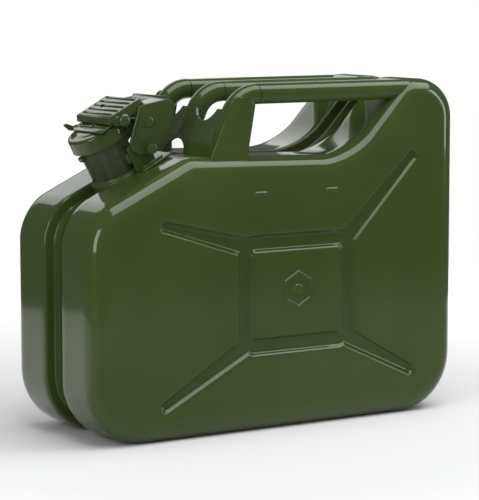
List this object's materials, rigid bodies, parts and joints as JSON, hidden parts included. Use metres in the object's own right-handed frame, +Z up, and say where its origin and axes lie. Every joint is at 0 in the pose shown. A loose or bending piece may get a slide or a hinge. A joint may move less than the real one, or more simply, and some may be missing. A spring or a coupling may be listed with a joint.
{
  "type": "jerry can",
  "caption": "Pressed-steel fuel can with recessed side panels, a stamped bracket carrying parallel handle bars, and a pivoting lever closure with a gasketed cap.",
  "frame": {"origin": "centre of the base, on the surface that the can stands on", "axes": "+X along the can from the closure to the hump, +Y from front to back, +Z up"},
  "size_m": [0.345, 0.13, 0.275],
  "materials": {
    "paint": "glossy olive-green baked enamel with slight orange peel",
    "closure_paint": "glossy olive-green enamel, worn at edges",
    "plated": "zinc-plated steel",
    "rubber": "matt black nitrile rubber"
  },
  "bodies": {
    "can": {"front_shell": "paint", "back_shell": "paint", "weld_seam": "paint", "neck": "paint", "neck_collar": "paint", "air_tube": "plated", "hinge_bracket": "paint", "bracket_spacers": "paint", "catch_lug": "paint", "handle_bracket": "paint", "front_handle_bar": "paint", "middle_handle_bar": "paint", "rear_handle_bar": "paint", "lever_pin": "closure_paint", "lever_washers": "closure_paint"},
    "lever_arm": {"lever": "closure_paint", "ribbed_plate": "closure_paint", "cap_pin": "closure_paint"},
    "cap_body": {"cap": "closure_paint", "cap_yoke": "closure_paint", "yoke_rivet": "closure_paint", "gasket": "rubber"},
    "lock": {"locking_pin": "closure_paint"}
  },
  "joints": [
    {"name": "lever_swing", "type": "hinge", "parent": "can", "child": "lever_arm", "pos_m": [-0.10168, 0, 0.24616], "axis": [0, 1, 0], "range_deg": [0, 100]},
    {"name": "cap_rock", "type": "hinge", "parent": "lever_arm", "child": "cap_body", "pos_m": [-0.12908, 0, 0.2487], "axis": [0, -1, 0], "range_deg": [0, 8]},
    {"name": "lock_slide", "type": "slide", "parent": "lever_arm", "child": "lock", "axis": [0, 1, 0], "range_m": [0, 0.0045]}
  ],
  "couplings": [
    {"joint": "cap_rock", "follows": "lever_swing", "ratio": 0.08}
  ]
}
